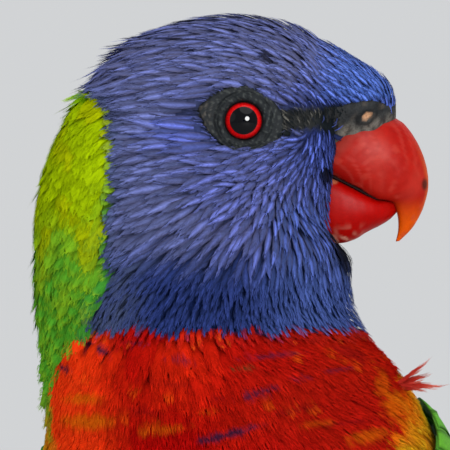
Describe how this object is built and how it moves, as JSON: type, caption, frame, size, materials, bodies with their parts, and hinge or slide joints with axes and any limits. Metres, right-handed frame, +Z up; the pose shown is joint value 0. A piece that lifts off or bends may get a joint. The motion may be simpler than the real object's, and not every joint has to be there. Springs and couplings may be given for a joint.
{
  "type": "rainbow lorikeet figure",
  "caption": "Life-size still model of a rainbow lorikeet that stands with folded wings and looks over its shoulder.",
  "frame": {"origin": "middle of the box of the whole bird, on the floor between the feet", "axes": "+Z up, the breast faces -Y, the tail runs back along +Y, the bird's left is +X"},
  "size_m": [0.0756, 0.2366, 0.1572],
  "materials": {
    "head_plumage": "violet-blue hackle feathers with pale shaft streaks",
    "collar_plumage": "lime feathers that turn green lower down, with a dark blue bib under the head",
    "breast_plumage": "scarlet and orange feathers with thin dark blue edges, yellow sides and a violet belly",
    "green_plumage": "green feathers with a satin sheen",
    "bill": "orange-red horn, satin, paler at the tip",
    "cere": "dark grey bare skin",
    "eye": "red iris with a black pupil under a wet clear front",
    "foot_skin": "grey scaly skin, dull",
    "claw": "dark horn, satin"
  },
  "bodies": {
    "root": {"head": "head_plumage", "neck": "collar_plumage", "torso": "breast_plumage", "tail": "green_plumage", "wing_left": "green_plumage", "wing_right": "green_plumage", "thigh_left": "green_plumage", "thigh_right": "green_plumage", "foot_left": "foot_skin", "foot_right": "foot_skin", "bill_upper": "bill", "bill_lower": "bill", "eye_left": "eye", "eye_right": "eye", "claw_left_inner_front": "claw", "claw_left_outer_front": "claw", "claw_left_outer_back": "claw", "claw_left_inner_back": "claw", "claw_right_inner_front": "claw", "claw_right_outer_front": "claw", "claw_right_outer_back": "claw", "claw_right_inner_back": "claw"}
  },
  "joints": []
}
